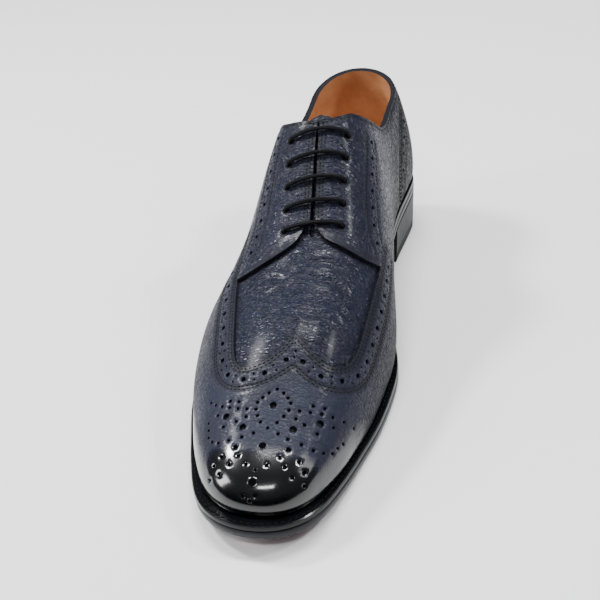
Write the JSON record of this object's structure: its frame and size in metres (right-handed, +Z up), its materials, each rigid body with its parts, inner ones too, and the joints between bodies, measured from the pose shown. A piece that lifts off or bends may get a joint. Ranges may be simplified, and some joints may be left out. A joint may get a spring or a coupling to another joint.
{
  "type": "wingtip derby shoe",
  "caption": "Leather wingtip derby for the right foot: brogued wing cap, open facings with straight bar lacing, tongue, heel counter, leather sole and stacked heel.",
  "frame": {"origin": "on the floor, under the middle of the bounding box", "axes": "+Z up, toe toward -Y, heel toward +Y, medial side (big toe side) toward +X"},
  "size_m": [0.1056, 0.304, 0.1125],
  "materials": {
    "grained_leather": "navy grained calf, waxed",
    "burnished_leather": "navy calf burnished to a black mirror shine at the toe",
    "tan_lining": "tan vegetable leather, satin",
    "black_sole_edge": "black edge ink, waxed and ironed",
    "sole_leather": "dark sole leather, satin",
    "heel_lifts": "black stacked leather, waxed",
    "heel_rubber": "matt black rubber",
    "waxed_lace": "black round waxed cotton lace"
  },
  "bodies": {
    "root": {"upper": "grained_leather", "quarter_medial": "grained_leather", "quarter_lateral": "grained_leather", "heel_counter": "grained_leather", "tongue": "grained_leather", "wing_cap": "burnished_leather", "laces": "waxed_lace", "insole": "tan_lining", "welt": "black_sole_edge", "outsole": "sole_leather", "heel_stack": "heel_lifts", "heel_top_piece": "heel_rubber"}
  },
  "joints": []
}
